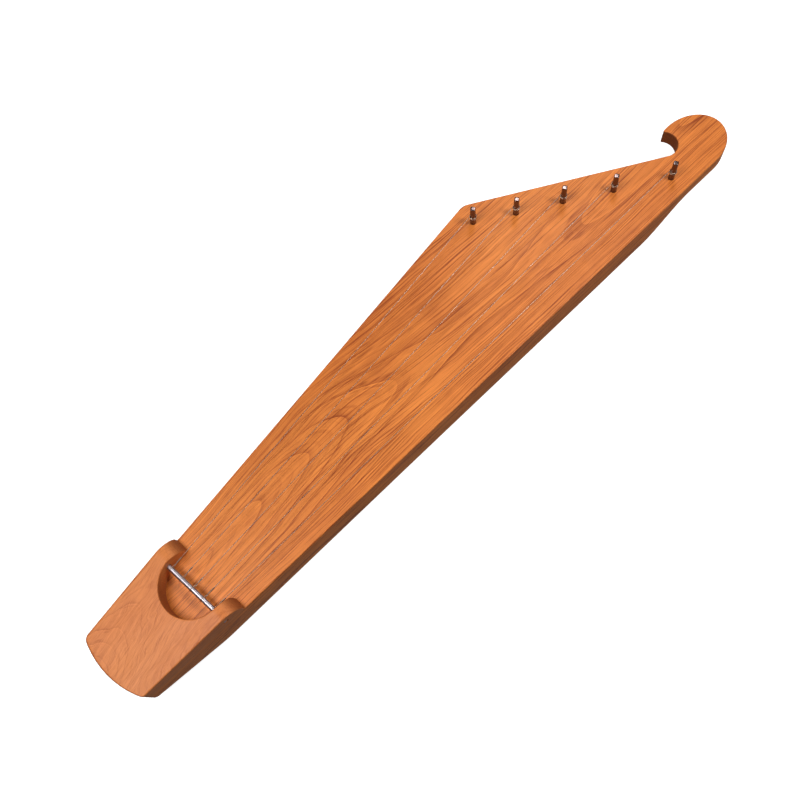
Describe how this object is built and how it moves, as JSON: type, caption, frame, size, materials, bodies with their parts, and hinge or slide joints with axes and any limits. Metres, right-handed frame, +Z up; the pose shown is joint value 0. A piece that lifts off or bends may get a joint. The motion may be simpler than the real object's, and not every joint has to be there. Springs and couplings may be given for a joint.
{
  "type": "kantele",
  "caption": "Small carved kantele: tapering wooden body with hooked head, raised tail block with steel rod, steel strings on turning tuning pins.",
  "frame": {"origin": "middle of the bounding box, on the surface that the body lies on", "axes": "+X along the straight side from the tail to the hooked head, +Y towards the slanted side, +Z up out of the deck"},
  "size_m": [0.6637, 0.1266, 0.0502],
  "materials": {
    "oiled_alder": "oiled satin, flat-sawn grain along the body",
    "block_alder": "oiled satin, wavy flat-sawn grain",
    "polished_steel": "polished",
    "nickel_plate": "bright nickel plate",
    "music_wire": "bright drawn wire"
  },
  "bodies": {
    "instrument": {"body": "oiled_alder", "tail_block": "block_alder", "string_rod": "polished_steel", "string_1": "music_wire", "string_2": "music_wire", "string_3": "music_wire", "string_4": "music_wire", "string_5": "music_wire"},
    "pin_1": {"tuning_pin_1": "nickel_plate", "string_winding_1": "music_wire"},
    "pin_2": {"tuning_pin_2": "nickel_plate", "string_winding_2": "music_wire"},
    "pin_3": {"tuning_pin_3": "nickel_plate", "string_winding_3": "music_wire"},
    "pin_4": {"tuning_pin_4": "nickel_plate", "string_winding_4": "music_wire"},
    "pin_5": {"tuning_pin_5": "nickel_plate", "string_winding_5": "music_wire"}
  },
  "joints": [
    {"name": "tune_1", "type": "hinge", "parent": "instrument", "child": "pin_1", "pos_m": [0.2581, -0.0472, 0.03], "axis": [0, 0, -1], "range_deg": [-90, 45]},
    {"name": "tune_2", "type": "hinge", "parent": "instrument", "child": "pin_2", "pos_m": [0.2166, -0.0201, 0.03], "axis": [0, 0, -1], "range_deg": [-90, 45]},
    {"name": "tune_3", "type": "hinge", "parent": "instrument", "child": "pin_3", "pos_m": [0.1797, 0.0036, 0.03], "axis": [0, 0, -1], "range_deg": [-90, 45]},
    {"name": "tune_4", "type": "hinge", "parent": "instrument", "child": "pin_4", "pos_m": [0.1448, 0.0248, 0.03], "axis": [0, 0, -1], "range_deg": [-90, 45]},
    {"name": "tune_5", "type": "hinge", "parent": "instrument", "child": "pin_5", "pos_m": [0.1138, 0.0451, 0.03], "axis": [0, 0, -1], "range_deg": [-90, 45]}
  ]
}
